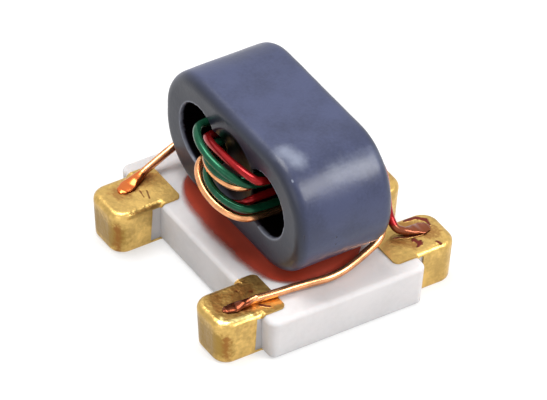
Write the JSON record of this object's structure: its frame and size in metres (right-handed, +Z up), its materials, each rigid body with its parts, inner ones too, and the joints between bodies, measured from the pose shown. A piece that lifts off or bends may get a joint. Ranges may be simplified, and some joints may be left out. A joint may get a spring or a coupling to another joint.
{
  "type": "rf transformer",
  "caption": "Surface-mount RF transformer: a ferrite core with through holes wound with enamelled wires, glued on a white base with wrapped gold terminals.",
  "frame": {"origin": "middle of the underside, on the plane that the terminals are soldered down on", "axes": "+X along the two rows of terminals and the core, +Y from the two-terminal side to the three-terminal side, +Z up"},
  "size_m": [0.0038, 0.0036, 0.0025],
  "materials": {
    "base_moulding": "smooth milky white moulding",
    "terminal": "gold plating, satin, slightly dimpled",
    "core_coating": "satin blue-grey coating on ferrite",
    "adhesive": "translucent dark red epoxy",
    "copper_enamel": "clear enamel on copper wire, glossy",
    "red_enamel": "red enamel on copper wire, glossy",
    "green_enamel": "green enamel on copper wire, glossy"
  },
  "bodies": {
    "root": {"base": "base_moulding", "terminal_1": "terminal", "terminal_2": "terminal", "terminal_3": "terminal", "terminal_4": "terminal", "terminal_5": "terminal", "ferrite_core": "core_coating", "adhesive": "adhesive", "copper_winding": "copper_enamel", "red_winding": "red_enamel", "green_winding": "green_enamel"}
  },
  "joints": []
}
